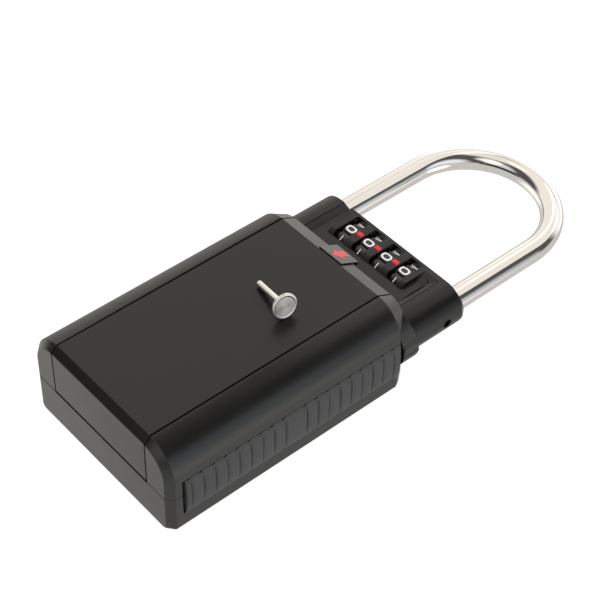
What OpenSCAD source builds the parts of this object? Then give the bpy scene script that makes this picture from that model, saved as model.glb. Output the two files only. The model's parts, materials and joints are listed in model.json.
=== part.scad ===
// Shackle key lock box: a hinged-lid key safe under a four-dial combination lock.
// X runs across the box, Y from its hinge end to the shackle bow, and Z out of the lid.
// The box lies on its back. The origin is the centre of the footprint, on that surface.

/* [Box] */
// Width of the box across its two shells
body_w = 71; // [70:0.5:72]
// Height of the closed box, back face to lid
body_t = 35.2; // [34.8:0.1:36]
// Height of the joint between the back shell and the front shell
split_z = 15.3; // [15:0.1:15.6]
// Radius of the long shoulders beside the lid
shoulder_r = 12; // [11:0.5:12.5]
// Radius along the two long edges of the back face
edge_r = 1.5; // [1:0.5:3]
// Width of the chamfer round the top and sides of the hinge end
chamfer = 2; // [1.5:0.1:2.4]
// Wall thickness of the shells
wall = 2.2; // [1.8:0.1:2.4]

/* [Lid] */
// Width of the lid
lid_w = 47.7; // [47:0.1:48]
// Thickness of the lid plate
lid_t = 2.4; // [2:0.1:2.5]
// Gap between the lid and the front shell
lid_gap = 0.45; // [0.3:0.05:0.5]
// Distance from the hinge end to the bevel across the lid
bevel_y = 94.9; // [94.5:0.1:95.2]
// Distance from the hinge end to the far edge of that bevel
bevel_end = 100.6; // [100.2:0.1:100.8]
// Height of the bevel's far edge
bevel_z = 32.3; // [32.1:0.1:32.5]
// Travel of the thumb tab
tab_travel = 2; // [1.5:0.1:2]

/* [Lock housing] */
// Distance from the hinge end to the far face of the towers
tower_end = 124.6; // [124:0.1:125.2]
// Height of the tower tops
tower_top = 25.2; // [25:0.1:25.6]
// Height of the dial panel
panel_z = 23.7; // [23.5:0.1:23.9]
// Height of the lock's own joint, its dial spindle and the shackle legs
axis_z = 16; // [15.9:0.1:16.1]

/* [Dials] */
// Number of dial wheels
dial_count = 4; // [4:1:4]
// Radius of a dial wheel
dial_r = 8.5; // [8.3:0.1:8.6]
// Width of a dial wheel
dial_w = 5.1; // [4.8:0.1:5.1]
// Distance from one dial wheel to the next
dial_pitch = 8.94; // [8.9:0.01:8.98]
// Distance from the hinge end to the dial spindle
dial_y = 117.66; // [117.5:0.02:117.8]
// Digits on a wheel
digits = 10; // [10:1:10]

/* [Shackle] */
// Diameter of the shackle bar
shackle_d = 8.5; // [8:0.1:8.6]
// Distance between the centres of the two legs
shackle_span = 56.82; // [56.6:0.02:57]
// Distance from the hinge end to the centre of the bow
bow_y = 164.5; // [160:0.5:170]
// How far the shackle rises when it opens
shackle_travel = 16; // [12:0.5:16]

/* [Grips] */
// Length of a side grip
grip_l = 90; // [88:0.2:90.4]
// Height of a side grip
grip_h = 15; // [13:0.5:15]
// How far a grip bulges past its own edges
grip_bulge = 1.4; // [1:0.1:1.6]

/* [Reset pin] */
// Diameter of the pin's shank
pin_d = 2.2; // [2:0.1:2.4]
// Diameter of the pin's head
pin_head_d = 9.3; // [9:0.1:9.5]
// Length of the pin from tip to face
pin_l = 17; // [16:0.5:18]

/* [Hidden] */
$fn = 96;

total_l = bow_y + shackle_span / 2 + shackle_d / 2;
half_w = body_w / 2;
half_lid = lid_w / 2;
half_opening = half_lid + lid_gap;
leg_x = shackle_span / 2;
run = 0.05;                                 // running clearance round a shaft
gap = 0.1;                                  // clearance between fixed neighbours
eps = 0.5;                                  // overshoot of a cut past a face
big = 300;

// The box
box_end = 98;                               // far face of the back shell
foot_chamfer = 0.4;
waist_end = 95.4;                           // far face of the front shell's sides
waist_z = 23;                               // where the front shell's end turns upright
corner_z = 26.4;                            // where the end flares out to the bevel
flare_z = 29.6;
lip_z = split_z - 0.5;                      // top of the back shell's hinge end, under the lid
opening_h = 24;                             // height above which the lid opening is cut
flange_t = 1.7;
cross_z = 30.6;                             // top of the wall across the front shell's far end
ledge_z = body_t - lid_t - 0.2;             // top of the ledge that the lid shuts on
hinge_y = 3;
hinge_z = 21;
hinge_r = 1;
hinge_half = 27;
boss_x = 29.5;
boss_y = [9, 78];
boss_r = 3;
screw_r = 1.25;
screw_head_r = 2.7;

// The lock housing
block_y = 84.6;                             // inner end of the housing, inside the box
block_half = 32.6;
block_top = 23.5;
block_bottom = 8.2;
floor_t = 1.4;
bay_half = 22.5;
bay_y = [86.2, 104];
bay_z = [block_bottom + floor_t, 22];
tower_bottom = 8;
tower_outer = 35.2;
tower_r = 8.4;
tower_inner = 24.9;
central_half = 22.2;
bar_y = [117.4, 122.6];                     // foot and top of the ramp up to the raised bar
bulge_half = 18.5;                          // half length of the bulge over the dials
collar_bottom = 4.6;
window_w = dial_w + 0.4;
window_y = [111.2, 123.4];
slot_r = dial_r + 0.4;
rim_wall = 1.4;
lock_screw_x = 21.3;
lock_screw_y = [111, 122.6];
reset_hole_r = 1.65;

// The dials
dial_x = [for (i = [0 : dial_count - 1]) (i - (dial_count - 1) / 2) * dial_pitch];
mark_x = [for (i = [0 : dial_count - 2]) (dial_x[i] + dial_x[i + 1]) / 2];
sleeve_r = 4.5;
sleeve_end = 6.1;                           // end of a sleeve past its wheel's centre
key_r = 5.3;
spindle_r = 2;
spindle_x = [-19.4, 21.9];
flat_r = 3.6;                               // depth of the code flat on a sleeve
tine_w = 2.2;
tine_x = 4.45;                              // a tine's place past its wheel's centre

// The bolts
plate_t = 2.2;
plate_y = [94.5, 103.4];
horn_y = 91;
horn_half = 4;
hook_y = [86.9, 89.9];
hook_half = 6;
hook_bottom = 12.5;
bolt_y = [91.8, 95];
bolt_z = [bay_z[0] + 0.2, 12.2];
bolt_travel = 2.4;
bolt_tip = -leg_x + shackle_d / 2 + 0.25;
heel_end = 88;
toe_end = tower_end - shackle_travel - gap; // clear of its tower when the shackle is up
notch_x = bolt_tip - bolt_travel - run;     // floor of the notch that the bolt enters

// The bevel's own axes: s runs down the slope, n stands out of it
bevel_a = atan2(body_t - bevel_z, bevel_end - bevel_y);
tab_s = [0.3, 9.3];
tab_half = 5.5;
tab_n = 0.55;
tab_nib_s = 8.6;                            // the finger nib along the tab's far edge
stem_s = [3, 5.4];
stem_half = 2;
foot_n = [-3.9, -2.5];

// The grips
grip_y = 50.2;
grip_z = split_z - 1.25;
grip_depth = 1.3;

// The reset pin, lying on the lid on its tip and the rim of its head
pin_tip = [-4.2, 68.1];
pin_turn = -9.5;                            // direction of the pin, seen from above
pin_tilt = asin((pin_head_d - pin_d) / 2 / pin_l);

// Places a part that is drawn from the hinge end of the box
module place() translate([0, -total_l / 2, 0]) children();

// Extrudes an outline drawn in X and Z along Y
module along_y(y0, y1) translate([0, y1, 0]) rotate([90, 0, 0]) linear_extrude(y1 - y0) children();

// Extrudes an outline drawn in Y and Z along X
module along_x(x0, x1) translate([x0, 0, 0]) rotate([90, 0, 90]) linear_extrude(x1 - x0) children();

// A box between two corners
module block(a, b) translate(a) cube(b - a);

// A rod along X, Y or Z between two places
module rod_x(r, x0, x1, y, z) translate([x0, y, z]) rotate([0, 90, 0]) cylinder(r = r, h = x1 - x0);
module rod_y(r, y0, y1, x, z) translate([x, y0, z]) rotate([-90, 0, 0]) cylinder(r = r, h = y1 - y0);
module rod_z(r, z0, z1, x, y) translate([x, y, z0]) cylinder(r = r, h = z1 - z0);

module both_sides() {
    children();
    mirror([1, 0, 0]) children();
}

// Draws in the bevel's axes: X across, Y down the slope, Z out of it
module on_bevel() translate([0, bevel_y, body_t]) rotate([-bevel_a, 0, 0]) children();

// Cross section of the box, drawn smaller all round by inset
module body_section(inset = 0) {
    w = half_w - inset;
    top_r = shoulder_r - inset;
    low_r = max(edge_r - inset, 0.2);
    both_sides() {
        translate([0, low_r + inset]) square([w, body_t - shoulder_r - low_r - inset]);
        translate([0, inset]) square([w - low_r, low_r]);
        translate([0, body_t - shoulder_r - 0.01]) square([w - top_r, top_r + 0.01]);
        translate([w - low_r, low_r + inset]) circle(low_r);
        intersection() {
            translate([w - top_r, body_t - shoulder_r]) circle(top_r);
            translate([w - top_r, body_t - shoulder_r - 0.01]) square(top_r + 1);
        }
    }
}

// Side outline of the box: chamfers at the hinge end, the bevel and the waisted far end
module body_side() polygon([[0, foot_chamfer], [0, body_t - chamfer], [chamfer, body_t],
    [bevel_y, body_t], [bevel_end, bevel_z], [bevel_end, flare_z], [waist_end, corner_z],
    [waist_end, waist_z], [box_end, split_z], [box_end, 6], [box_end - 1.5, 0], [foot_chamfer, 0]]);

// Plan of the box: chamfers at the hinge end, and a slight taper at the far end
module body_plan() both_sides() polygon([[0, 0], [half_w - chamfer, 0], [half_w, chamfer],
    [half_w, bevel_y], [half_w - 2.5, bevel_end + eps], [0, bevel_end + eps]]);

// The whole outside of the box, cut between two heights
module body_form(z0, z1) {
    intersection() {
        along_y(-eps, bevel_end + eps) body_section();
        along_x(-half_w - eps, half_w + eps) body_side();
        block([-big / 2, -eps, z0], [big / 2, big, z1]);
        linear_extrude(body_t + eps) body_plan();
    }
}

// Side recess that a grip is set into
module grip_recess() both_sides()
    block([half_w - grip_depth, grip_y - grip_l / 2, grip_z - grip_h / 2],
          [half_w + 2, grip_y + grip_l / 2, grip_z + grip_h / 2]);

module base_shell() place() color([0.09, 0.09, 0.09]) {
    difference() {
        body_form(0, split_z - 0.05);
        intersection() {
            along_y(wall, box_end - wall) body_section(wall);
            block([-big / 2, 0, wall], [big / 2, big, split_z + eps]);
        }
        block([-half_opening, -eps, lip_z], [half_opening, wall + eps, split_z + eps]);
        block([-block_half - gap, block_y - gap, block_bottom - gap], [block_half + gap, big, big]);
        grip_recess();
        for (x = [-boss_x, boss_x], y = boss_y) screw_hole(x, y);
    }
    difference() {
        for (x = [-boss_x, boss_x], y = boss_y) rod_z(boss_r, wall - 0.1, split_z - 0.05, x, y);
        for (x = [-boss_x, boss_x], y = boss_y) screw_hole(x, y);
    }
}

// Clearance hole with its countersink in the back face
module screw_hole(x, y) {
    rod_z(screw_r + 0.15, -eps, split_z + eps, x, y);
    translate([x, y, -0.01]) cylinder(r1 = screw_head_r + 0.2, r2 = screw_r + 0.15, h = 1.8);
}

module front_shell() place() color([0.1, 0.1, 0.1]) {
    difference() {
        union() {
            difference() {
                body_form(split_z, body_t + eps);
                intersection() {
                    along_y(wall + 0.4, waist_end - wall) body_section(wall);
                    block([-big / 2, 0, split_z - eps], [big / 2, big, big]);
                }
                block([-block_half - gap, block_y - gap, split_z - eps],
                      [block_half + gap, big, block_top + gap]);
            }
            both_sides() {
                block([half_opening, 1, 26], [half_opening + flange_t, waist_end - 1, body_t - 1.5]);
                block([half_lid - 1, 7, ledge_z - 1], [half_opening + 1, waist_end - wall, ledge_z]);
                block([half_opening, 0.9, split_z], [hinge_half + 1.2, 6.2, 27]);
            }
            block([-half_opening - 1, waist_end - wall, block_top + gap],
                  [half_opening + 1, waist_end - gap, cross_z]);
            for (x = [-boss_x, boss_x], y = boss_y) rod_z(boss_r, split_z, body_t - 4.5, x, y);
        }
        block([-half_opening, -eps, split_z - eps], [half_opening, 6.5, big]);
        block([-half_opening, 6, ledge_z], [half_opening, big, big]);
        block([-half_lid + 1, 6, opening_h], [half_lid - 1, waist_end - wall, big]);
        block([-half_opening, 6, cross_z], [half_opening, big, big]);
        block([-half_opening, waist_end - gap, block_top], [half_opening, big, big]);
        block([-4.2, waist_end - wall - eps, 28], [4.2, big, big]);
        both_sides() rod_x(hinge_r + run, half_opening - eps, hinge_half + gap, hinge_y, hinge_z);
        for (x = [-boss_x, boss_x], y = boss_y) rod_z(screw_r + run, split_z - eps, 24, x, y);
        grip_recess();
    }
}

// Cross section of a lock tower, on the +X side
module tower_section() {
    cx = tower_outer - tower_r;
    translate([tower_inner, tower_bottom]) square([cx - tower_inner, tower_top - tower_bottom]);
    translate([tower_inner, tower_bottom + tower_r])
        square([tower_outer - tower_inner, tower_top - tower_bottom - 2 * tower_r]);
    translate([cx, tower_top - tower_r]) circle(tower_r);
    translate([cx, tower_bottom + tower_r]) circle(tower_r);
    polygon([[central_half - 0.5, tower_bottom], [central_half - 0.5, panel_z], [23.1, panel_z],
             [tower_inner + 0.1, tower_top], [tower_inner + 0.1, tower_bottom]]);
}

// Cross section of the collar that the housing wears where it leaves the box
module collar_section() {
    both_sides() {
        square([23, 31]);
        translate([0, 12]) square([35, 9]);
        translate([25, 21]) intersection() {
            circle(10);
            square(11);
        }
        translate([0, 20.99]) square([25, 10.01]);
        translate([27, 12.6]) circle(8);
        translate([0, collar_bottom]) square([27, 10]);
    }
}

// Side outline of the collar: tucked under the bevel, raked back towards its top
module collar_side() polygon([[box_end + gap, collar_bottom], [box_end + gap, split_z],
    [waist_end + gap + 0.1, waist_z + 0.2], [waist_end + gap + 0.1, corner_z - 0.2],
    [99.9, 28.9], [101.3, 24.6], [103.9, 17.2], [105, 12.7], [105.1, 11.3], [104.7, 8.8],
    [103.5, 6.3], [101.5, collar_bottom]]);

// The outside of the lock housing, before it is split at axis_z
module lock_form() {
    both_sides() along_y(box_end + gap, tower_end) tower_section();
    intersection() {
        along_y(waist_end, 106) collar_section();
        along_x(-36, 36) collar_side();
    }
    block([-block_half, block_y, block_bottom], [block_half, box_end - 0.5, block_top]);
    block([-block_half, box_end - 1, block_bottom], [block_half, box_end + 1, block_top]);
    block([-central_half, box_end + gap, tower_bottom], [central_half, dial_y, panel_z]);
    block([-central_half, dial_y - 1, axis_z - 4], [central_half, tower_end, panel_z]);
    along_x(-21, tower_inner + 0.2) polygon([[bar_y[0], panel_z - 1], [bar_y[0], panel_z],
        [bar_y[1], tower_top], [tower_end, tower_top], [tower_end, panel_z - 1]]);
    block([-half_opening + 0.5, waist_end + gap + 0.1, panel_z - 2], [half_opening - 0.5, 100, 29.8]);
    intersection() {
        rod_x(slot_r + rim_wall, -central_half, central_half, dial_y, axis_z);
        block([-big / 2, 0, 0], [big / 2, big, panel_z - 0.1]);
    }
    intersection() {
        rod_x(slot_r + rim_wall, -bulge_half, bulge_half, dial_y, axis_z);
        block([-big / 2, 0, 0], [big / 2, big, tower_top]);
    }
}

// Everything that is hollow in the lock housing
module lock_hollows() {
    block([-bay_half, bay_y[0], bay_z[0]], [bay_half, bay_y[1], bay_z[1]]);
    for (x = dial_x) {
        rod_x(slot_r, x - window_w / 2, x + window_w / 2, dial_y, axis_z);
        block([x - window_w / 2, window_y[0] + 1, axis_z], [x + window_w / 2, window_y[1], big]);
        block([x - window_w / 2 + 1, window_y[0], axis_z], [x + window_w / 2 - 1, window_y[1], big]);
        for (t = [-1, 1]) rod_z(1, axis_z, tower_top + 1, x + t * (window_w / 2 - 1), window_y[0] + 1);
        block([x - 1.8, bay_y[1] - eps, 9.6], [x + 1.8, dial_y - 6, 11]);
        block([x + tine_x - tine_w / 2 - 0.2, bay_y[1] - eps, axis_z - plate_t / 2 - 0.3],
              [x + tine_x + tine_w / 2 + 0.2, dial_y - 3, axis_z + plate_t / 2 + 0.3]);
    }
    rod_x(key_r + 0.3, dial_x[0] - 3.6, dial_x[dial_count - 1] + sleeve_end + 0.2, dial_y, axis_z);
    rod_x(spindle_r + run, spindle_x[0] - 3.6, spindle_x[1] + gap, dial_y, axis_z);
    rod_x(reset_hole_r, spindle_x[1], tower_outer + 1, dial_y, axis_z);
    rod_y(shackle_d / 2 + run, heel_end - 0.4, tower_end + eps, -leg_x, axis_z);
    rod_y(shackle_d / 2 + run, toe_end - 0.4, tower_end + eps, leg_x, axis_z);
    for (x = [-leg_x, leg_x]) rod_y(6.02, tower_end - 0.6, tower_end + eps, x, axis_z);
    block([-leg_x, bolt_y[0] - 0.2, bay_z[0]], [-bay_half + 1, bolt_y[1] + 0.2, 19]);
    block([-10.5, block_y - eps, bay_z[0]], [-2.5, bay_y[0] + eps, bolt_z[1] + 0.2]);
    block([-hook_half - 0.6, bay_y[0], bay_z[1] - eps], [hook_half + 0.6, hook_y[1] + 0.7, 32]);
    block([-4.2, waist_end - 1, 27.6], [4.2, 100.3, 32]);
    for (x = [-lock_screw_x, lock_screw_x], y = lock_screw_y) {
        rod_z(screw_r + run, 0, panel_z - 2, x, y);
        rod_z(screw_head_r - 0.2, 0, tower_bottom + 1.7, x, y);
    }
}

module lock_front() place() color([0.13, 0.13, 0.13]) difference() {
    lock_form();
    lock_hollows();
    block([-big / 2, 0, -1], [big / 2, big, axis_z]);
    for (x = mark_x) block([x - 1.4, 116.6, panel_z - 1.2], [x + 1.4, 118.6, big]);
}

module lock_back() place() color([0.1, 0.1, 0.1]) difference() {
    lock_form();
    lock_hollows();
    block([-big / 2, 0, axis_z - 0.05], [big / 2, big, big]);
}

// Side outline of the lid: its end wall, plate and bevel
module lid_side() {
    low = split_z + 0.5;
    polygon([[0, low], [0, body_t - chamfer], [chamfer, body_t], [bevel_y, body_t],
             [bevel_end, bevel_z], [bevel_end - 1, bevel_z - 2], [bevel_y - 0.6, body_t - lid_t],
             [lid_t + 2, body_t - lid_t], [lid_t, body_t - lid_t - 2], [lid_t, low]]);
}

module lid() place() color([0.12, 0.12, 0.115]) difference() {
    union() {
        along_x(-half_lid, half_lid) lid_side();
        both_sides() along_x(half_lid - 3.6, half_lid) {
            translate([lid_t - 0.4, hinge_z - 2.2]) square([hinge_y - lid_t + 0.4, 4.4]);
            translate([hinge_y, hinge_z]) circle(2.2);
        }
        on_bevel() block([-1.2, -0.9, foot_n[0]], [1.2, 0.1, -2]);
    }
    rod_x(hinge_r + run, -half_lid - eps, half_lid + eps, hinge_y, hinge_z);
    on_bevel() block([-stem_half - 0.15, stem_s[0] - tab_travel - 0.2, -6],
                     [stem_half + 0.15, stem_s[1] + 0.2, 3]);
}

module lid_hook() place() color([0.7, 0.7, 0.68]) difference() {
    block([-hook_half, hook_y[0], hook_bottom], [hook_half, hook_y[1], body_t - lid_t]);
    block([-horn_half - 0.7, hook_y[0] - eps, axis_z - 2.2],
          [horn_half + 0.7, hook_y[1] + eps, axis_z + 2.2]);
}

module hinge_pin() place() color([0.75, 0.75, 0.74])
    rod_x(hinge_r, -hinge_half, hinge_half, hinge_y, hinge_z);

module arrow_outline() polygon([[0, 1.5], [2.9, 5.2], [1.6, 5.2], [1.6, 8.4], [-1.6, 8.4], [-1.6, 5.2],
                                [-2.9, 5.2]]);

module release_tab() place() color([0.5, 0.5, 0.48]) on_bevel() difference() {
    union() {
        block([-tab_half, tab_s[0], 0.05], [tab_half, tab_s[1], tab_n]);
        block([-tab_half, tab_nib_s, -0.9], [tab_half, tab_s[1], tab_n]);
        block([-stem_half, stem_s[0], foot_n[0]], [stem_half, stem_s[1], 0.2]);
        block([-3.4, stem_s[0], foot_n[0]], [3.4, 6.5, foot_n[1]]);
    }
    translate([0, 0, tab_n - 0.25]) linear_extrude(1) arrow_outline();
}

module arrow_mark() place() color([0.85, 0.25, 0.27]) on_bevel()
    translate([0, 0, tab_n - 0.24]) linear_extrude(0.26) arrow_outline();

// A helical spring along its own Z, swept as one closed tube
module coil(r, wire, length, turns) {
    sides = 6;
    per_turn = 12;
    rings = turns * per_turn;
    points = [for (i = [0 : rings], j = [0 : sides - 1])
        let (a = 360 * i / per_turn, b = 360 * j / sides, q = r + wire / 2 * cos(b))
        [q * cos(a), q * sin(a), wire / 2 + (length - wire) * i / rings + wire / 2 * sin(b)]];
    sides_faces = [for (i = [0 : rings - 1], j = [0 : sides - 1])
        let (k = (j + 1) % sides)
        [i * sides + j, (i + 1) * sides + j, (i + 1) * sides + k, i * sides + k]];
    start = [for (j = [0 : sides - 1]) j];
    end = [for (j = [sides - 1 : -1 : 0]) rings * sides + j];
    polyhedron(points, concat([start], sides_faces, [end]), convexity = 8);
}

module tab_spring() place() color([0.7, 0.7, 0.7]) on_bevel()
    translate([0, stem_s[0] - 0.1, foot_n[0] + 0.7]) rotate([90, 0, 0]) coil(0.45, 0.25, 2.7, 5);

module dial_wheel(i) place() color([0.05, 0.05, 0.05]) translate([dial_x[i], dial_y, axis_z])
    rotate([0, 90, 0]) difference() {
        translate([0, 0, -dial_w / 2]) cylinder(r = dial_r, h = dial_w);
        translate([0, 0, -dial_w]) cylinder(r = sleeve_r + run, h = 2 * dial_w);
        for (k = [0 : digits - 1]) rotate(360 * k / digits) {
            translate([sleeve_r - 1, -0.6, -dial_w]) cube([key_r - sleeve_r + 1.1, 1.2, 2 * dial_w]);
            rotate(180 / digits) translate([dial_r + 0.7, 0, -dial_w]) cylinder(r = 1.1, h = 2 * dial_w);
        }
    }

module dial_sleeve(i) place() color([0.72, 0.6, 0.3]) translate([dial_x[i], dial_y, axis_z])
    rotate([0, 90, 0]) difference() {
        union() {
            translate([0, 0, -2.75]) cylinder(r = sleeve_r, h = sleeve_end + 2.75);
            translate([0, -0.5, -1.5]) cube([key_r, 1, 3]);
        }
        translate([0, 0, -5]) cylinder(r = spindle_r + run, h = 20);
        translate([-6, -8 - flat_r, 2.9]) cube([12, 8, 8]);
    }

module dial_spindle() place() color([0.75, 0.75, 0.76])
    rod_x(spindle_r, spindle_x[0], spindle_x[1], dial_y, axis_z);

module reset_spring() place() color([0.7, 0.7, 0.7])
    translate([spindle_x[0] - 3.5, dial_y, axis_z]) rotate([0, 90, 0]) coil(1.45, 0.35, 3.4, 4);

module detent_comb() place() color([0.6, 0.6, 0.62]) {
    strip_y = bay_y[1] - 0.5;
    block([-17, strip_y, 9.7], [17, strip_y + 0.4, 13.5]);
    for (x = dial_x) block([x - 1.5, strip_y, 9.8], [x + 1.5, dial_y - 6.5, 10.2]);
}

module index_marks() place() color([0.82, 0.12, 0.16])
    for (x = mark_x) block([x - 1.35, 116.65, panel_z - 1.15], [x + 1.35, 118.55, tower_top + 0.3]);

module lock_plate() place() color([0.68, 0.68, 0.66]) {
    z0 = axis_z - plate_t / 2;
    z1 = axis_z + plate_t / 2;
    block([-20.3, plate_y[0], z0], [20.3, plate_y[1], z1]);
    block([-horn_half, horn_y, z0], [horn_half, plate_y[0] + 0.1, z1]);
    for (x = dial_x) block([x + tine_x - tine_w / 2, plate_y[1] - 0.1, z0],
                           [x + tine_x + tine_w / 2, dial_y - sleeve_r - 0.15, z1]);
}

module plate_springs() place() color([0.7, 0.7, 0.7]) for (x = [-14, 14])
    translate([x, bay_y[0] + 0.1, axis_z]) rotate([-90, 0, 0])
        coil(1.8, 0.4, plate_y[0] - bay_y[0] - 0.2, 6);

module shackle() place() color([0.85, 0.84, 0.82]) difference() {
    union() {
        translate([0, bow_y, axis_z]) rotate_extrude(angle = 180)
            translate([leg_x, 0]) circle(d = shackle_d);
        leg(-leg_x, heel_end);
        leg(leg_x, toe_end);
    }
    block([notch_x, bolt_y[0] - 0.2, 0], [0, bolt_y[1] + 0.4, 30]);
}

// A straight leg with a chamfered end
module leg(x, y0) {
    rod_y(shackle_d / 2, y0 + 0.8, bow_y + 0.01, x, axis_z);
    translate([x, y0, axis_z]) rotate([-90, 0, 0])
        cylinder(r1 = shackle_d / 2 - 0.8, r2 = shackle_d / 2, h = 0.8);
}

module shackle_bolt() place() color([0.68, 0.68, 0.66]) {
    block([bolt_tip, bolt_y[0], bolt_z[0]], [1, bolt_y[1], bolt_z[1]]);
    block([bolt_tip, bolt_y[0], bolt_z[0]], [bolt_tip + 2.6, bolt_y[1], 18.6]);
    block([-7, 79.5, bolt_z[0]], [-3, bolt_y[0] + 0.1, bolt_z[1]]);
    block([-8, 79.5, bolt_z[0]], [-2.6, 82, bolt_z[1] + 3]);
}

module bulkhead() place() color([0.16, 0.16, 0.16]) difference() {
    union() {
        block([-32.8, 83.2, wall + gap], [32.8, 84.3, 25.7]);
        block([-half_lid + 1.2, 83.2, 25], [half_lid - 1.2, 84.3, ledge_z - 1.2]);
    }
    block([-10.5, 80, bolt_z[0] - 0.3], [-2.4, 86, bolt_z[1] + 3.3]);
}

module seal(x) place() color([0.06, 0.06, 0.06]) difference() {
    rod_y(6, tower_end - 0.58, tower_end + 1.2, x, axis_z);
    rod_y(shackle_d / 2 + run, tower_end - 2, tower_end + 3, x, axis_z);
}

// A grip of its plain outer shape, on the +X side
module grip() {
    inner = half_w - grip_depth + run;
    edge = half_w - 0.25;
    low = grip_z - grip_h / 2 + run;
    bulge_r = ((grip_h / 2) ^ 2 + grip_bulge ^ 2) / (2 * grip_bulge);
    along_y(grip_y - grip_l / 2 + run, grip_y + grip_l / 2 - run) {
        translate([inner, low]) square([edge - inner, grip_h - 2 * run]);
        intersection() {
            translate([edge + grip_bulge - bulge_r, grip_z]) circle(bulge_r, $fn = 180);
            translate([edge - 0.1, low]) square([3, grip_h - 2 * run]);
        }
    }
}

// One countersunk screw, head down, with a slot across its head
module screw(x, y, z0, z1, head_r, head_h) difference() {
    union() {
        rod_z(screw_r, z0, z1, x, y);
        translate([x, y, z0]) cylinder(r1 = head_r, r2 = screw_r, h = head_h);
    }
    translate([x, y, z0]) rotate(30) cube([4, 0.7, 1.2], center = true);
}

module case_screws() place() color([0.55, 0.55, 0.55])
    for (x = [-boss_x, boss_x], y = boss_y) screw(x, y, 0.15, 23, screw_head_r, 1.6);

module lock_screws() place() color([0.55, 0.55, 0.55])
    for (x = [-lock_screw_x, lock_screw_x], y = lock_screw_y)
        screw(x, y, tower_bottom + 0.15, panel_z - 2.5, screw_head_r - 0.3, 1.4);

module reset_pin() place() color([0.9, 0.89, 0.86])
    translate([pin_tip[0], pin_tip[1], body_t + 0.03 + pin_d / 2 * cos(pin_tilt)])
        rotate([0, 0, pin_turn]) rotate([0, 90 - pin_tilt, 0]) rotate_extrude() polygon([[0, 0],
            [pin_d / 2 - 0.2, 0], [pin_d / 2, 0.25], [pin_d / 2, pin_l - 2.1],
            [pin_d / 2 + 0.9, pin_l - 1.1], [pin_head_d / 2 - 0.15, pin_l - 0.95],
            [pin_head_d / 2, pin_l - 0.8],
            [pin_head_d / 2, pin_l - 0.15], [pin_head_d / 2 - 0.2, pin_l], [pin_head_d / 2 - 1, pin_l],
            [0, pin_l - 0.3]]);

base_shell();
front_shell();
lock_front();
lock_back();
lid();
lid_hook();
hinge_pin();
release_tab();
arrow_mark();
tab_spring();
dial_wheel(0);  // dial_wheel_1
dial_wheel(1);  // dial_wheel_2
dial_wheel(2);  // dial_wheel_3
dial_wheel(3);  // dial_wheel_4
dial_sleeve(0);  // dial_sleeve_1
dial_sleeve(1);  // dial_sleeve_2
dial_sleeve(2);  // dial_sleeve_3
dial_sleeve(3);  // dial_sleeve_4
dial_spindle();
reset_spring();
detent_comb();
index_marks();
lock_plate();
plate_springs();
shackle();
shackle_bolt();
bulkhead();
seal(-leg_x);  // seal_left
seal(leg_x);  // seal_right
place() color([0.18, 0.19, 0.2]) mirror([1, 0, 0]) grip();  // grip_left
place() color([0.18, 0.19, 0.2]) grip();  // grip_right
case_screws();
lock_screws();
reset_pin();
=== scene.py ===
"""Looks of a key lock box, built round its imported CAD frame. Lengths are in mm until a mesh is made."""
import json
import math

import bmesh
import bpy
from mathutils import Matrix, Vector
from mathutils.bvhtree import BVHTree


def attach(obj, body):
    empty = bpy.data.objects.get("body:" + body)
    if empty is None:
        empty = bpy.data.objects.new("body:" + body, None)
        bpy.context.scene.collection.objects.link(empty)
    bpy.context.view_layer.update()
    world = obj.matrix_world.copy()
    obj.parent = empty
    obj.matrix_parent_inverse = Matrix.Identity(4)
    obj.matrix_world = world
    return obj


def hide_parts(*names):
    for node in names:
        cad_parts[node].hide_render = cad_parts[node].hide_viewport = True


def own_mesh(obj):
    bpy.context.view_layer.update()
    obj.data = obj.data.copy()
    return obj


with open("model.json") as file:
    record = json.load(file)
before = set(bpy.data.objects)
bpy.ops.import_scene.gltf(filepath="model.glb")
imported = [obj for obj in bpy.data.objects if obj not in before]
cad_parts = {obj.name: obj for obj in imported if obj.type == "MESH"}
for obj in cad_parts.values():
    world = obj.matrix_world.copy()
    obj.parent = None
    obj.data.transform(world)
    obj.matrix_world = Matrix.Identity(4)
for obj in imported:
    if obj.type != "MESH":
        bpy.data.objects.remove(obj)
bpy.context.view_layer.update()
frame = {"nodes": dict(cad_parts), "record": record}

# The box, in mm. Y runs from the hinge end, and Y_MID moves it to the frame's centre.
Y_MID = 98.58
HALF_W, BODY_T = 35.5, 35.2                     # half the width, and the thickness
SHOULDER_R, EDGE_R = 12.0, 1.5                  # rounding of the long edges at the front and the back
AXIS_Z = 16.0                                   # height of the shackle and of the dials' spindle
LEG_X, BOW_Y, BAR_R = 28.41, 164.5, 4.25        # shackle: legs, start of the bow, radius of the bar
DIAL_R, DIAL_W, DIAL_PITCH, DIAL_Y = 8.5, 5.1, 8.94, 117.66
DIGIT_H, DIGIT_W = 3.1, 4.1
BEVEL_Y, BEVEL_END, BEVEL_Z = 94.9, 100.6, 32.3     # bevel: start and end in Y, height at its end


# ---------------------------------------------------------------- mesh helpers
WELD_GAP = 1e-6         # m, points closer than this are one
MAX_DRIFT = 0.55        # how far a bevel may leave the old surface, in widths of the bevel


def place(p):
    """A point in mm, measured from the hinge end, as a frame point in metres."""
    return Vector((p[0], p[1] - Y_MID, p[2])) / 1000


def place_back(v):
    """A point of the shared frame as millimetres from the middle of the hinge end."""
    return (v[0] * 1000, v[1] * 1000 + Y_MID, v[2] * 1000)


def new_object(name, verts, faces):
    """An object from points in mm."""
    mesh = bpy.data.meshes.new(name)
    mesh.from_pydata([place(v) for v in verts], [], faces)
    mesh.validate()
    obj = bpy.data.objects.new(name, mesh)
    bpy.context.scene.collection.objects.link(obj)
    return obj


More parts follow.
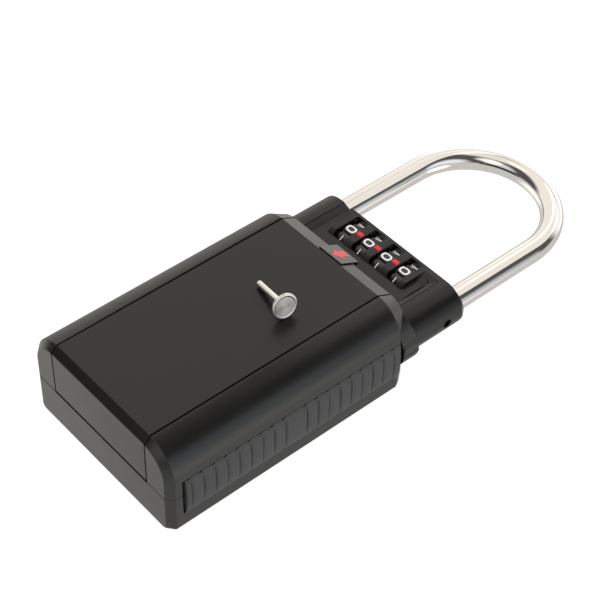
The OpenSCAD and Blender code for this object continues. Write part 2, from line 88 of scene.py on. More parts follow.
def smooth(obj, degrees):
    """Shades smooth, with edges sharper than the angle kept."""
    for p in obj.data.polygons:
        p.use_smooth = True
    limit = math.radians(degrees)
    bm = bmesh.new()
    bm.from_mesh(obj.data)
    for e in bm.edges:
        e.smooth = len(e.link_faces) == 2 and e.calc_face_angle(0) < limit
    bm.to_mesh(obj.data)
    bm.free()
    return obj


def ring_faces(rings, n, closed=False):
    """Quads between rings of n points. The rings close on themselves or end in caps."""
    faces = []
    for i in range(rings if closed else rings - 1):
        a, b = i * n, ((i + 1) % rings) * n
        for j in range(n):
            k = (j + 1) % n
            faces.append((a + j, a + k, b + k, b + j))
    if not closed:
        faces.append(tuple(range(n - 1, -1, -1)))
        faces.append(tuple((rings - 1) * n + j for j in range(n)))
    return faces


def fix_normals(obj):
    """Turns every face outwards."""
    bm = bmesh.new()
    bm.from_mesh(obj.data)
    bmesh.ops.recalc_face_normals(bm, faces=bm.faces)
    bm.to_mesh(obj.data)
    bm.free()
    return obj


def evaluate(obj):
    """Bakes an object's modifiers into its mesh."""
    bpy.context.view_layer.update()
    graph = bpy.context.evaluated_depsgraph_get()
    mesh = bpy.data.meshes.new_from_object(obj.evaluated_get(graph))
    obj.modifiers.clear()
    obj.data = mesh
    return obj


def combine(obj, other, operation):
    """A boolean with another solid, which is then removed."""
    m = obj.modifiers.new("cut", "BOOLEAN")
    m.operation, m.object, m.solver = operation, other, "EXACT"
    evaluate(obj)
    bpy.data.objects.remove(other)
    return obj


def weld(obj):
    """Joins the seams of a tessellated solid."""
    bm = bmesh.new()
    bm.from_mesh(obj.data)
    bmesh.ops.remove_doubles(bm, verts=bm.verts, dist=WELD_GAP)
    bmesh.ops.dissolve_degenerate(bm, dist=WELD_GAP, edges=bm.edges)
    bm.to_mesh(obj.data)
    bm.free()
    return obj


def soften(obj, width, segments=3, sharp=26):
    """Rounds the edges over 30 degrees. Corners that overshoot go back to the old surface."""
    weld(obj)
    old = BVHTree.FromPolygons([v.co.copy() for v in obj.data.vertices],
                               [p.vertices[:] for p in obj.data.polygons])
    m = obj.modifiers.new("edge", "BEVEL")
    m.width, m.segments = width / 1000, segments
    m.limit_method, m.angle_limit = "ANGLE", math.radians(30)
    m.use_clamp_overlap = False
    m.miter_outer = "MITER_ARC"
    evaluate(obj)
    for v in obj.data.vertices:
        near, _, _, distance = old.find_nearest(v.co)
        if distance > MAX_DRIFT * width / 1000:
            v.co = near
    return shade(obj, sharp)


def shade(obj, degrees):
    """Smooth shading that keeps flat faces flat and edges sharper than the angle."""
    smooth(obj, degrees)
    m = obj.modifiers.new("normals", "WEIGHTED_NORMAL")
    m.keep_sharp, m.weight = True, 100
    return obj


def from_node(name, node):
    """A piece that starts from a CAD node's own solid."""
    obj = bpy.data.objects.new(name, frame["nodes"][node].data.copy())
    bpy.context.scene.collection.objects.link(obj)
    return weld(obj)


def finish_piece(obj, body, slot, material, *nodes):
    """Gives a piece its finish and its body, and hides the CAD nodes that it stands for; the slot is not
    used.
    """
    obj.data.materials.clear()
    obj.data.materials.append(material)
    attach(obj, body)
    if nodes:
        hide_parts(*nodes)
    return obj


# ---------------------------------------------------------------- camera
CAMERA_ANGLES = (47.97, 45.17, 1.76)    # degrees: round from -Y towards +X, up, and roll
CAMERA_TARGET, CAMERA_REACH = (-5.58, 87.55, 15), 0.5697    # a point in mm, and the distance to it in m
LENS, SENSOR = 100.63, 36


def make_camera():
    """The camera, which looks down on the box from its hinge end and its +X side."""
    az, el, roll = (math.radians(a) for a in CAMERA_ANGLES)
    back = Vector((math.sin(az) * math.cos(el), -math.cos(az) * math.cos(el), math.sin(el)))
    right = Vector((math.cos(az), math.sin(az), 0))
    up = back.cross(right)
    r = right * math.cos(roll) + up * math.sin(roll)
    u = up * math.cos(roll) - right * math.sin(roll)
    camera = bpy.data.objects.new("camera", bpy.data.cameras.new("camera"))
    bpy.context.scene.collection.objects.link(camera)
    turn = Matrix((r, u, back)).transposed().to_4x4()
    camera.matrix_world = Matrix.Translation(place(CAMERA_TARGET) + back * CAMERA_REACH) @ turn
    camera.data.sensor_width = SENSOR
    camera.data.lens = LENS
    camera.data.clip_start, camera.data.clip_end = 0.01, 20
    bpy.context.scene.camera = camera


make_camera()


# ---------------------------------------------------------------- materials
CLOUD_SCALE, GRAIN_SCALE, GRAIN_STRENGTH = 60, 3000, 0.25
CLOUD_SPAN = (0.3, 0.7)         # the part of the noise's range that is used


def material(name, build):
    """A material whose nodes a function sets."""
    m = bpy.data.materials.new(name)
    m.use_nodes = True
    nodes, links = m.node_tree.nodes, m.node_tree.links
    shader = nodes["Principled BSDF"]
    build(nodes, links, shader)
    return m


def noise(nodes, links, scale, detail):
    """A noise fixed to the piece."""
    tex = nodes.new("ShaderNodeTexNoise")
    tex.inputs["Scale"].default_value = scale
    tex.inputs["Detail"].default_value = detail
    tex.inputs["Roughness"].default_value = 0.5
    links.new(nodes.new("ShaderNodeTexCoord").outputs["Object"], tex.inputs["Vector"])
    return tex.outputs["Fac"]


def ramp(nodes, links, fac, low, high):
    """Maps a noise to a range of colours."""
    r = nodes.new("ShaderNodeValToRGB")
    for element, position, colour in zip(r.color_ramp.elements, CLOUD_SPAN, (low, high)):
        element.position, element.color = position, (*colour, 1)
    links.new(fac, r.inputs["Fac"])
    return r.outputs["Color"]


def spread(nodes, links, fac, low, high, start, end):
    """Maps a value between start and end to a range."""
    m = nodes.new("ShaderNodeMapRange")
    m.inputs["From Min"].default_value, m.inputs["From Max"].default_value = start, end
    m.inputs["To Min"].default_value, m.inputs["To Max"].default_value = low, high
    links.new(fac, m.inputs["Value"])
    return m.outputs["Result"]


def bump(nodes, links, shader, height, distance):
    """Raises a shader's surface by a height map."""
    b = nodes.new("ShaderNodeBump")
    b.inputs["Strength"].default_value = GRAIN_STRENGTH
    b.inputs["Distance"].default_value = distance
    links.new(height, b.inputs["Height"])
    links.new(b.outputs["Normal"], shader.inputs["Normal"])


def plain(colour, rough, metallic=0.0, depth=0.00002, vary=0.08, specular=0.5, painted_glow=0.0):
    """A finish with slight cloudiness in its colour and gloss, and a fine grain. A glow, where given, is
    painted light: the part shines in its own colour though it is no lamp.
    """
    def build(nodes, links, shader):
        cloud = noise(nodes, links, CLOUD_SCALE, 4)
        low = tuple(c * (1 - vary) for c in colour)
        high = tuple(min(c * (1 + vary), 1) for c in colour)
        links.new(ramp(nodes, links, cloud, low, high), shader.inputs["Base Color"])
        gloss = spread(nodes, links, cloud, rough * 0.92, rough * 1.08, *CLOUD_SPAN)
        links.new(gloss, shader.inputs["Roughness"])
        shader.inputs["Metallic"].default_value = metallic
        shader.inputs["Specular IOR Level"].default_value = specular
        shader.inputs["Emission Color"].default_value = (*colour, 1)
        # painted light: an emission in the part's own colour, which makes it brighter than the lamps make
        # it
        shader.inputs["Emission Strength"].default_value = painted_glow
        bump(nodes, links, shader, noise(nodes, links, GRAIN_SCALE, 2), depth)
    return build


FINISHES = {
    "case_black": plain((0.012, 0.012, 0.0115), 0.3, specular=0.65),
    "lid_black": plain((0.014, 0.013, 0.0115), 0.3, specular=0.5),
    "lock_black": plain((0.009, 0.009, 0.0095), 0.32, specular=0.5),
    "tab_grey": plain((0.018, 0.018, 0.017), 0.36, specular=0.8),
    "grip_rubber": plain((0.036, 0.038, 0.04), 0.5, specular=0.7),
    "seal_rubber": plain((0.008, 0.008, 0.008), 0.4),
    "dial_black": plain((0.006, 0.006, 0.006), 0.14, specular=0.8),
    # red marks: their own red, plus painted light, a glow that makes them brighter than the studio lights
    # do
    "red_mark": plain((0.68, 0.032, 0.045), 0.4, painted_glow=0.35),
    "chrome": plain((0.93, 0.91, 0.88), 0.06, 1.0, depth=0.000002, vary=0.01),
    "aluminium": plain((0.88, 0.87, 0.84), 0.3, 1.0),
    "steel": plain((0.6, 0.6, 0.6), 0.25, 1.0),
    "zinc": plain((0.5, 0.5, 0.48), 0.35, 1.0),
    "brass": plain((0.72, 0.56, 0.25), 0.3, 1.0),
    # digits: their white print, plus painted light, a glow that makes them whiter than the studio lights
    # do
    "digit_white": plain((0.86, 0.88, 0.9), 0.45, vary=0.03, painted_glow=0.4),
}
MATERIAL = {name: material("finish_" + name, build) for name, build in FINISHES.items()}

SLOT = {part["node"]: part["material_slot"] for part in frame["record"]["subparts"]}
for name, slot in SLOT.items():
    node = frame["nodes"][name]
    node.data.materials.clear()
    node.data.materials.append(MATERIAL[slot])
    smooth(node, 30)

# ---------------------------------------------------------------- the case
CHAMFER, SOFT = 2.4, 0.7        # chamfer round the hinge end, and the radius of its edges
SLOPE = (BODY_T - BEVEL_Z) / (BEVEL_END - BEVEL_Y)
MARGIN = 0.01                   # the form stands this far outside the CAD solids that it trims
FOOT_SHARE = 0.2                # the back is drawn in by this share of what the front is
CASE_EDGE, LOCK_EDGE = 0.22, 0.18       # widths of their softened edges


def case_section(inset, foot):
    """Outline of the case in X and Z, drawn in at the sides and top, and less at its foot."""
    w, top = HALF_W - inset, BODY_T - inset
    r, low = SHOULDER_R - inset, EDGE_R
    half = []
    for i in range(7):
        a = math.radians(-90 + 15 * i)
        half.append((w - low + low * math.cos(a), foot + low + low * math.sin(a)))
    for i in range(37):
        a = math.radians(2.5 * i)
        half.append((w - r + r * math.cos(a), top - r + r * math.sin(a)))
    return half + [(-x, z) for x, z in reversed(half)]


def case_form():
    """The outside of the closed case, with its softened chamfer and its bevelled far end."""
    corner = CHAMFER + SOFT * math.tan(math.radians(22.5))
    stations = []
    for i in range(5):
        a = math.radians(11.25 * i)
        stations.append((SOFT - SOFT * math.cos(a), corner - SOFT * math.sin(a)))
    for i in range(5):
        a = math.radians(45 - 11.25 * i)
        stations.append((corner - SOFT * math.sin(a), SOFT - SOFT * math.cos(a)))
    stations += [(BEVEL_Y, 0), (BEVEL_END + 1, SLOPE * (BEVEL_END + 1 - BEVEL_Y))]
    rings = [(y - (MARGIN if y < 1 else 0), case_section(inset - MARGIN, inset * FOOT_SHARE - MARGIN))
             for y, inset in stations]
    verts = [(x, y, z) for y, ring in rings for x, z in ring]
    return fix_normals(new_object("form", verts, ring_faces(len(rings), len(rings[0][1]))))


for name, node, body in (("back_shell", "base_shell", "case"),
                         ("shoulder_shell", "front_shell", "case"),
                         ("lid_plate", "lid", "lid")):
    piece = soften(combine(from_node(name, node), case_form(), "INTERSECT"), CASE_EDGE)
    finish_piece(piece, body, SLOT[node], MATERIAL[SLOT[node]], node)

# foot and top of the ramp beside the dials, in Y and Z; both stay crisp lines
RAMP_EDGES = ((117.4, 23.7), (122.6, 25.2))


def on_ramp_edge(ends):
    """Whether an edge's two points both lie on the same edge of the ramp."""
    return any(all(math.hypot(p[1] - y, p[2] - z) < 0.05 for p in ends) for y, z in RAMP_EDGES)


for name, node in (("lock_top", "lock_front"), ("lock_bottom", "lock_back")):
    piece = soften(from_node(name, node), LOCK_EDGE, segments=6, sharp=17)
    for edge in piece.data.edges:
        if on_ramp_edge([place_back(piece.data.vertices[v].co) for v in edge.vertices]):
            edge.use_edge_sharp = True
    finish_piece(piece, "case", "lock_black", MATERIAL["lock_black"], node)

# ---------------------------------------------------------------- grips
GRIP_Y, GRIP_PITCH, WIDE_RIB = 50.2, 4.70, 8.85     # middle of the wide rib, pitch of the others
GRIP_ENDS, GRIP_Z, GRIP_HALF_H = (6.1, 95.1), 14.05, 7.45
GRIP_BACK, GRIP_WALL, GRIP_FACE = 34.3, 35.52, 35.56    # X inside the case, at its wall, and of the skin
GRIP_STEPS = 480
GROOVES = [GRIP_Y + side * (WIDE_RIB / 2 + GRIP_PITCH * i) for side in (-1, 1) for i in range(9)]
GROOVE_WIDTH, NOTCH_WIDTH, PILLOW_WIDTH = 0.2, 0.55, 2.35
FINE_PITCH, FINE_DEPTH, END_ROUND = 1.175, 0.045, 0.7


def grip_section(y):
    """Outline of a ribbed grip at one place along it, in X and Z.

    Ribs are pillows between grooves. Each groove cuts a notch in the grip's two long edges, and
    the ribs carry fine lines.
    """
    off = min(abs(y - g) for g in GROOVES)
    groove = math.exp(-((off / GROOVE_WIDTH) ** 2))
    pillow = 1 - (1 - min(off / PILLOW_WIDTH, 1)) ** 2.4
    notch = max(math.exp(-(((y - g + NOTCH_WIDTH) / NOTCH_WIDTH) ** 2)) for g in GROOVES)
    fine = FINE_DEPTH * math.cos(2 * math.pi * (y - GRIP_Y) / FINE_PITCH) * (1 - groove)
    end = max(0.0, 1 - min(y - GRIP_ENDS[0], GRIP_ENDS[1] - y) / END_ROUND)
    round_end = 1 - math.sqrt(max(0.0, 1 - end * end))
    crown = 0.6 + 0.3 * pillow - 0.4 * groove + fine - 0.7 * round_end
    lip = 0.22 - 0.3 * notch - 0.3 * round_end
    low, high = GRIP_Z - GRIP_HALF_H - lip, GRIP_Z + GRIP_HALF_H + lip - 0.4 * notch
    mid, half = (low + high) / 2, (high - low) / 2
    foot, head = max(low, GRIP_Z - GRIP_HALF_H), min(high, GRIP_Z + GRIP_HALF_H)
    outline = [(GRIP_BACK, foot), (GRIP_WALL, foot)]
    for i in range(25):
        u = -1 + i / 12
        bulge = crown * (1 - abs(u) ** 2.6) + 0.2 * (1 - abs(u) ** 10)
        outline.append((GRIP_FACE + bulge, mid + half * u))
    return outline + [(GRIP_WALL, head), (GRIP_BACK, head)]


def make_grip(name, node, side):
    """A grip swept along one side of the case."""
    start, end = GRIP_ENDS
    stations = [start + (end - start) * i / GRIP_STEPS for i in range(GRIP_STEPS + 1)]
    rings = [[(side * x, y, z) for x, z in grip_section(y)] for y in stations]
    verts = [p for ring in rings for p in ring]
    piece = fix_normals(new_object(name, verts, ring_faces(len(rings), len(rings[0]))))
    finish_piece(shade(piece, 50), "case", "grip_rubber", MATERIAL["grip_rubber"], node)


make_grip("ribbed_grip_right", "grip_right", 1)
make_grip("ribbed_grip_left", "grip_left", -1)


# ---------------------------------------------------------------- dials
SCALLOP_HALF, SCALLOP_DEPTH = 6.0, 0.38     # degrees, mm
SQUARISH = 2.7                              # how square the digit 0 is; 2 would be an ellipse
DIGIT_PROUD, DIGIT_ROOT = 0.04, -0.25       # face and back of a digit, from the wheel's rim
DIGIT_CUTS = 12                             # slices that let a digit bend round its wheel
ONE_STRETCH = 0.6                           # the digit 1 keeps its narrow shape


def turned(name, profile, axis_point, axis="X", steps=96, radius_at=None):
    """A closed ring turned round an axis. The profile is a loop of (along, radius) points."""
    verts = []
    for i in range(steps):
        t = 2 * math.pi * i / steps
        for along, r in profile:
            r = radius_at(t, r) if radius_at else r
            a, b = r * math.sin(t), r * math.cos(t)
            p = {"X": (along, a, b), "Y": (a, along, b)}[axis]
            verts.append(tuple(p[k] + axis_point[k] for k in range(3)))
    return fix_normals(new_object(name, verts, ring_faces(steps, len(profile), closed=True)))


def wheel_radius(t, r):
    """A shallow scallop half way between two digits."""
    turn = abs(math.degrees(t) % 36 - 18) / SCALLOP_HALF
    if r < DIAL_R - 1 or turn >= 1:
        return r
    return r - SCALLOP_DEPTH * math.cos(turn * math.pi / 2) ** 1.5


def nought_mesh():
    """The digit 0 as a squarish ring."""
    ring, count = [], 48
    for i in range(count):
        t = 2 * math.pi * i / count
        c, s = math.cos(t), math.sin(t)
        k = (abs(c) ** SQUARISH + abs(s) ** SQUARISH) ** (-1 / SQUARISH)
        ring.append([(a * c * k, b * s * k, z) for a, b, z in
                     ((0.5, 0.5, 0.05), (0.5, 0.5, -0.05), (0.325, 0.30, -0.05), (0.325, 0.30, 0.05))])
    mesh = bpy.data.meshes.new("nought")
    mesh.from_pydata([p for loop in ring for p in loop], [], ring_faces(count, 4, closed=True))
    return mesh


def digit_mesh(digit):
    """A bold digit as a flat solid."""
    if digit == 0:
        return nought_mesh()
    curve = bpy.data.curves.new("digit", "FONT")
    curve.body = str(digit)
    curve.size, curve.extrude, curve.offset = 1, 0.05, 0.015
    curve.resolution_u = 5
    obj = bpy.data.objects.new("digit", curve)
    bpy.context.scene.collection.objects.link(obj)
    bpy.context.view_layer.update()
    graph = bpy.context.evaluated_depsgraph_get()
    mesh = bpy.data.meshes.new_from_object(obj.evaluated_get(graph))
    bpy.data.objects.remove(obj)
    return mesh


def make_digits(name, centre_x):
    """White digits wrapped round a wheel, 0 on top and the rest following towards the hinge end."""
    bm = bmesh.new()
    for digit in range(10):
        mesh = digit_mesh(digit)
        part = bmesh.new()
        part.from_mesh(mesh)
        bmesh.ops.remove_doubles(part, verts=part.verts, dist=1e-5)
        xs = [v.co.x for v in part.verts]
        ys = [v.co.y for v in part.verts]
        mid_x, mid_y = (min(xs) + max(xs)) / 2, (min(ys) + max(ys)) / 2
        scale = DIGIT_H / (max(ys) - min(ys))
        wide = DIGIT_W / (max(xs) - min(xs)) if digit != 1 else scale * ONE_STRETCH
        for v in part.verts:
            v.co = Vector(((v.co.x - mid_x) * wide, (v.co.y - mid_y) * scale, v.co.z))
        for k in range(1, DIGIT_CUTS):
            cut = -DIGIT_H / 2 + DIGIT_H * k / DIGIT_CUTS
            bmesh.ops.bisect_plane(part, geom=part.verts[:] + part.edges[:] + part.faces[:],
                                   plane_co=(0, cut, 0), plane_no=(0, 1, 0))
        for v in part.verts:
            t = math.radians(36 * digit) - v.co.y / DIAL_R
            r = DIAL_R + (DIGIT_PROUD if v.co.z > 0 else DIGIT_ROOT)
            v.co = place((centre_x + v.co.x, DIAL_Y - r * math.sin(t), AXIS_Z + r * math.cos(t)))
        part.to_mesh(mesh)
        part.free()
        bm.from_mesh(mesh)
        bpy.data.meshes.remove(mesh)
    mesh = bpy.data.meshes.new(name)
    bm.to_mesh(mesh)
    bm.free()
    obj = bpy.data.objects.new(name, mesh)
    bpy.context.scene.collection.objects.link(obj)
    return fix_normals(obj)


DIAL_BORE = 4.6
WHEEL_SIDE = [(DIAL_W / 2, DIAL_BORE), (DIAL_W / 2, DIAL_R - 0.55),
              (DIAL_W / 2 - 0.12, DIAL_R - 0.2), (DIAL_W / 2 - 0.42, DIAL_R)]
WHEEL = [(-x, r) for x, r in WHEEL_SIDE] + WHEEL_SIDE[::-1]
for i in range(4):
    number, centre_x = i + 1, (i - 1.5) * DIAL_PITCH
    piece = turned(f"digit_wheel_{number}", WHEEL, (centre_x, DIAL_Y, AXIS_Z),
                   steps=360, radius_at=wheel_radius)
    finish_piece(shade(piece, 30), f"dial_{number}", "dial_black", MATERIAL["dial_black"],
                 f"dial_wheel_{number}")
    piece = smooth(make_digits(f"digits_{number}", centre_x), 30)
    finish_piece(piece, f"dial_{number}", "dial_black", MATERIAL["digit_white"])

# ---------------------------------------------------------------- marks, tab, inner parts and seals
# pieces that only get softer edges: name, CAD node, body, width of the softening
for name, node, body, width in (("raised_marks", "index_marks", "case", 0.3),
                                ("thumb_tab", "release_tab", "tab", 0.12),
                                ("catch_loop", "lid_hook", "lid", 0.2),
                                ("tine_plate", "lock_plate", "plate", 0.15),
                                ("bolt_bar", "shackle_bolt", "bolt", 0.2),
                                ("compartment_wall", "bulkhead", "case", 0.15),
                                ("back_screws", "case_screws", "case", 0.1),
                                ("housing_screws", "lock_screws", "case", 0.1)):
    finish_piece(soften(from_node(name, node), width), body, SLOT[node], MATERIAL[SLOT[node]], node)

# springs, which keep their length: name, CAD node, body, joint, direction, fixed end, share of the length
# kept (the last four are not used)
for name, node, body, joint, axis, anchor, keep in (
        ("plate_coils", "plate_springs", "case", "plate_throw", (0, 1, 0), (0, 86.3, AXIS_Z), 0.62),
        ("reset_coil", "reset_spring", "case", "spindle_push", (1, 0, 0), (-22.9, DIAL_Y, AXIS_Z), 0.54),
        ("tab_coil", "tab_spring", "lid", "tab_slide", (0, 0.891, -0.454), (0, 93.5, 32.6), 0.3)):
    piece = finish_piece(shade(from_node(name, node), 40), body, "steel", MATERIAL["steel"], node)
    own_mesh(piece)

# the rings round the shackle's legs, as Y and radius: a rubber seal with a round shoulder, and
# the thin metal rim outside it
SEAL_ROUND, SEAL_TURNS = 0.6, [math.radians(a) for a in range(15, 91, 15)]
RING = [(124.1, 4.32), (124.1, 5.95), (124.62, 5.95), (124.62, 6.1), (125.5, 6.1)]
RING += [(125.6 + SEAL_ROUND * math.sin(a), 5.5 + SEAL_ROUND * math.cos(a)) for a in SEAL_TURNS]
RING += [(126.2, 4.9), (126.0, 4.45), (125.6, 4.32)]
WASHER = [(124.61, 6.15), (124.61, 6.6), (124.7, 6.7), (125.1, 6.7), (125.2, 6.6), (125.2, 6.15)]
for side, x in (("left", -LEG_X), ("right", LEG_X)):
    piece = shade(turned("leg_seal_" + side, RING, (x, 0, AXIS_Z), "Y"), 40)
    finish_piece(piece, "case", "seal_rubber", MATERIAL["seal_rubber"], "seal_" + side)
    piece = shade(turned("seal_rim_" + side, WASHER, (x, 0, AXIS_Z), "Y"), 40)
    finish_piece(piece, "case", "zinc", MATERIAL["zinc"])


# ---------------------------------------------------------------- shackle
HEEL_Y, TOE_Y, END_BEVEL = 88.0, 108.5, 0.8     # ends of the long and of the short leg
BAR_SIDES, BOW_STEPS = 64, 120
BOLT_NOTCH = ((-26.36, 91.6, 8), (-20, 95.4, 24))


def make_shackle():
    """Round bar swept from the long leg, round the bow, to the short leg."""
    heel, toe = HEEL_Y + END_BEVEL, TOE_Y + END_BEVEL
    path = [(-LEG_X, HEEL_Y, 0.0, BAR_R - END_BEVEL)]       # X, Y, turn round the bow, radius
    path += [(-LEG_X, heel + (BOW_Y - heel) * i / 10, 0.0, BAR_R) for i in range(11)]
    for i in range(1, BOW_STEPS):
        a = math.pi * i / BOW_STEPS
        path.append((-LEG_X * math.cos(a), BOW_Y + LEG_X * math.sin(a), a, BAR_R))
    path += [(LEG_X, BOW_Y - (BOW_Y - toe) * i / 8, math.pi, BAR_R) for i in range(9)]
    path += [(LEG_X, TOE_Y, math.pi, BAR_R - END_BEVEL)]
    verts = []
    for x, y, a, r in path:
        for k in range(BAR_SIDES):
            t = 2 * math.pi * k / BAR_SIDES
            reach = r * math.cos(t)
            verts.append((x - math.cos(a) * reach, y + math.sin(a) * reach, AXIS_Z + r * math.sin(t)))
    return fix_normals(new_object("round_bar_shackle", verts, ring_faces(len(path), BAR_SIDES)))


def box_solid(lo, hi):
    """A block between two corners."""
    c = [(x, y, z) for x in (lo[0], hi[0]) for y in (lo[1], hi[1]) for z in (lo[2], hi[2])]
    faces = [(0, 1, 3, 2), (4, 6, 7, 5), (0, 4, 5, 1), (2, 3, 7, 6), (0, 2, 6, 4), (1, 5, 7, 3)]
    return fix_normals(new_object("box", c, faces))


shackle = combine(make_shackle(), box_solid(*BOLT_NOTCH), "DIFFERENCE")
finish_piece(shade(shackle, 28), "shackle", "chrome", MATERIAL["chrome"], "shackle")


# ---------------------------------------------------------------- reset pin
PIN_D, HEAD_D, PIN_L = 2.2, 9.3, 17.0
PIN_TIP, PIN_TURN = (-4.2, 68.1), math.radians(-9.5)
PIN_GAP = 0.03                                  # clearance between the pin and the lid
RIM_LAND, TURNING_STEPS, TURNING_PITCH = 0.9, 44, 0.62


def make_pin():
    """The loose pin, lying on the lid on its tip and on the rim of its head.

    The profile is given as radius and height. The head's face is dished and has turning marks.
    """
    tilt = math.asin((HEAD_D - PIN_D) / 2 / PIN_L)
    r, top, rim = PIN_D / 2, PIN_L, HEAD_D / 2
    dish_r = rim - RIM_LAND
    profile = [(0, 0), (r * 0.72, 0.0), (r * 0.93, 0.12), (r, 0.35),
               (r, top - 2.5), (r + 0.06, top - 2.0), (r + 0.25, top - 1.6), (r + 0.7, top - 1.25),
               (r + 1.3, top - 1.08), (rim - 0.5, top - 0.98), (rim - 0.16, top - 0.93),
               (rim - 0.03, top - 0.8), (rim, top - 0.65), (rim, top - 0.28), (rim - 0.06, top - 0.1),
               (rim - 0.2, top - 0.01), (rim - 0.75, top), (dish_r, top - 0.07)]
    for i in range(1, TURNING_STEPS):
        q = dish_r * (1 - i / TURNING_STEPS)
        dish = 0.12 + 0.2 * (1 - (q / dish_r) ** 2)
        profile.append((q, top - dish + 0.016 * math.cos(2 * math.pi * q / TURNING_PITCH)))
    profile.append((0, top - 0.3))
    sides, verts = 96, []
    ca, sa = math.cos(PIN_TURN), math.sin(PIN_TURN)
    z0 = BODY_T + PIN_GAP + PIN_D / 2 * math.cos(tilt)
    for q, h in profile:
        for k in range(sides):
            t = 2 * math.pi * k / sides
            a, b = q * math.cos(t), q * math.sin(t)
            x = h * math.cos(tilt) - a * math.sin(tilt)
            z = h * math.sin(tilt) + a * math.cos(tilt)
            verts.append((PIN_TIP[0] + x * ca - b * sa, PIN_TIP[1] + x * sa + b * ca, z0 + z))
    piece = weld(new_object("loose_reset_pin", verts, ring_faces(len(profile), sides)))
    return shade(fix_normals(piece), 40)


finish_piece(make_pin(), "pin", "aluminium", MATERIAL["aluminium"], "reset_pin")

# ---------------------------------------------------------------- stage
# The floor is a white sheet just under the box. What the object mirrors is a studio: a white table
# below the horizon, a long soft wall of light on the -X side, a cooler one far round on the +X
# side, a dark ceiling, and a few lamps, each a direction, an inner and outer angle, and a colour.
FLOOR_HALF, FLOOR_DROP, FLOOR_GLOW = 3000, 0.00005, 0.93    # mm, m
CEILING = (0.09, 0.087, 0.085)
TABLE = (0.50, 0.49, 0.47)
LEFT_WALL = (0.84, 0.79, 0.73)
RIGHT_WALL = (0.76, 0.81, 0.89)
LAMPS = [
    ((-0.80, -0.38, -0.42), (8, 34), (0.50, 0.49, 0.46)),
    ((-0.08, -0.16, 0.98), (14, 28), (0.75, 0.71, 0.65)),
    ((-0.52, 0.85, 0.04), (10, 30), (0.75, 0.74, 0.70)),
    ((0.05, 0.98, 0.15), (10, 30), (0.9, 0.89, 0.86)),
    ((0.1, -0.85, 0.35), (10, 30), (0.6, 0.6, 0.59)),
    ((0.90, 0.24, -0.36), (8, 24), (0.75, 0.74, 0.71)),
    ((0.30, -0.70, 0.64), (6, 22), (0.9, 0.88, 0.84)),
]
# a round soft box hung close over the shackle, too far back for the case to mirror; in m and W
SOFTBOX_AT, SOFTBOX_AIM = (0.018, 0.25, 0.25), (0.0, 0.07, 0.016)
SOFTBOX_SIZE, SOFTBOX_POWER, SOFTBOX_COLOUR = 0.33, 0.215, (1.0, 0.95, 0.88)

scene = bpy.context.scene
scene.view_settings.view_transform = "Standard"


def floor_build(nodes, links, shader):
    """The floor's finish: white paper that glows enough to stay white."""
    shader.inputs["Base Color"].default_value = (0.35, 0.35, 0.35, 1)
    shader.inputs["Emission Color"].default_value = (1, 1, 1, 1)
    shader.inputs["Emission Strength"].default_value = FLOOR_GLOW
    shader.inputs["Roughness"].default_value = 0.9


def make_floor():
    """The floor, which the object's gloss doesn't mirror; the studio's table does that."""
    corners = [(x * FLOOR_HALF, y * FLOOR_HALF, 0) for x, y in ((-1, -1), (1, -1), (1, 1), (-1, 1))]
    floor = new_object("floor", corners, [(0, 1, 2, 3)])
    floor.location.z = -FLOOR_DROP
    floor.data.materials.append(material("stage_white", floor_build))
    floor.visible_glossy = False


def lobe(nodes, links, direction, softness):
    """Brightness of a soft light round a direction of the world, 0 to 1."""
    unit = nodes.new("ShaderNodeVectorMath")
    unit.operation = "NORMALIZE"
    links.new(nodes.new("ShaderNodeTexCoord").outputs["Generated"], unit.inputs[0])
    dot = nodes.new("ShaderNodeVectorMath")
    dot.operation = "DOT_PRODUCT"
    links.new(unit.outputs["Vector"], dot.inputs[0])
    dot.inputs[1].default_value = Vector(direction).normalized()
    m = nodes.new("ShaderNodeMapRange")
    m.interpolation_type = "SMOOTHSTEP"
    inner, outer = softness
    m.inputs["From Min"].default_value = math.cos(math.radians(outer))
    m.inputs["From Max"].default_value = math.cos(math.radians(inner))
    links.new(dot.outputs["Value"], m.inputs["Value"])
    return m.outputs["Result"]


def scaled(nodes, links, colour, *amounts):
    """A colour times one or more values."""
    out = None
    for amount in amounts:
        tint = nodes.new("ShaderNodeVectorMath")
        tint.operation = "SCALE"
        if out is None:
            tint.inputs[0].default_value = colour
        else:
            links.new(out, tint.inputs[0])
        links.new(amount, tint.inputs["Scale"])
        out = tint.outputs["Vector"]
    return out


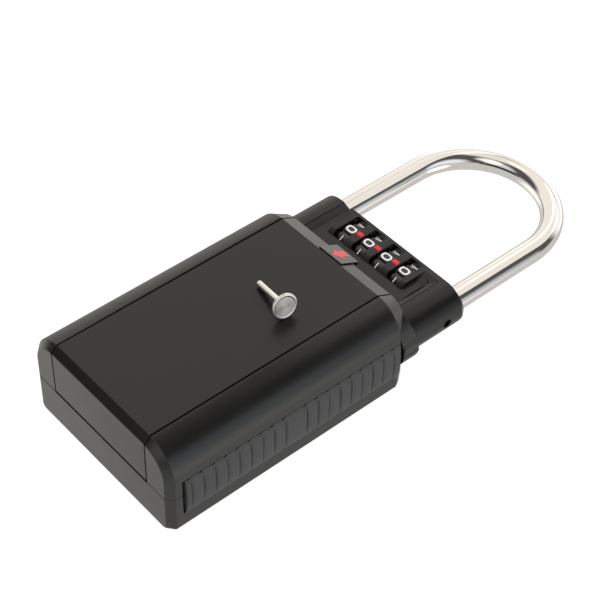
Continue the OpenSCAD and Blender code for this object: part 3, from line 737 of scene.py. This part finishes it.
def studio_light(nodes, links):
    """The studio's colour in each direction: the ceiling plus everything brighter."""
    split = nodes.new("ShaderNodeSeparateXYZ")
    links.new(nodes.new("ShaderNodeTexCoord").outputs["Generated"], split.inputs["Vector"])
    x, y, z = (split.outputs[k] for k in "XYZ")
    below = spread(nodes, links, z, 1, 0, -0.12, 0.04)
    above = spread(nodes, links, z, 0, 1, -0.12, 0.04)
    to_left = spread(nodes, links, x, 1, 0, -0.48, -0.22)
    to_back = spread(nodes, links, y, 0, 1, -0.50, -0.25)
    to_right = spread(nodes, links, x, 0, 1, 0.74, 0.90)
    terms = [scaled(nodes, links, TABLE, below),
             scaled(nodes, links, LEFT_WALL, above, to_left, to_back),
             scaled(nodes, links, RIGHT_WALL, above, to_right)]
    terms += [scaled(nodes, links, colour, lobe(nodes, links, direction, softness))
              for direction, softness, colour in LAMPS]
    total = None
    for term in terms:
        add = nodes.new("ShaderNodeVectorMath")
        add.operation = "ADD"
        if total is None:
            add.inputs[0].default_value = CEILING
        else:
            links.new(total, add.inputs[0])
        links.new(term, add.inputs[1])
        total = add.outputs["Vector"]
    return total


def make_studio():
    """The world: the studio for light and mirror images, and plain white behind the object."""
    world = bpy.data.worlds.new("studio")
    scene.world = world
    world.use_nodes = True
    nodes, links = world.node_tree.nodes, world.node_tree.links
    background = nodes["Background"]
    links.new(studio_light(nodes, links), background.inputs["Color"])
    background.inputs["Strength"].default_value = 1.0
    white = nodes.new("ShaderNodeBackground")
    white.inputs["Color"].default_value = (1, 1, 1, 1)
    mix = nodes.new("ShaderNodeMixShader")
    links.new(nodes.new("ShaderNodeLightPath").outputs["Is Camera Ray"], mix.inputs[0])
    links.new(background.outputs["Background"], mix.inputs[1])
    links.new(white.outputs["Background"], mix.inputs[2])
    links.new(mix.outputs["Shader"], nodes["World Output"].inputs["Surface"])


def make_softbox():
    """The soft box over the shackle, unseen by the lens."""
    lamp = bpy.data.lights.new("softbox", "AREA")
    lamp.shape, lamp.size = "DISK", SOFTBOX_SIZE
    lamp.energy, lamp.color = SOFTBOX_POWER, SOFTBOX_COLOUR
    softbox = bpy.data.objects.new("softbox", lamp)
    scene.collection.objects.link(softbox)
    softbox.location = SOFTBOX_AT
    aim = Vector(SOFTBOX_AIM) - Vector(SOFTBOX_AT)
    softbox.rotation_euler = aim.to_track_quat("-Z", "Y").to_euler()
    softbox.visible_camera = False


make_floor()
make_studio()
make_softbox()
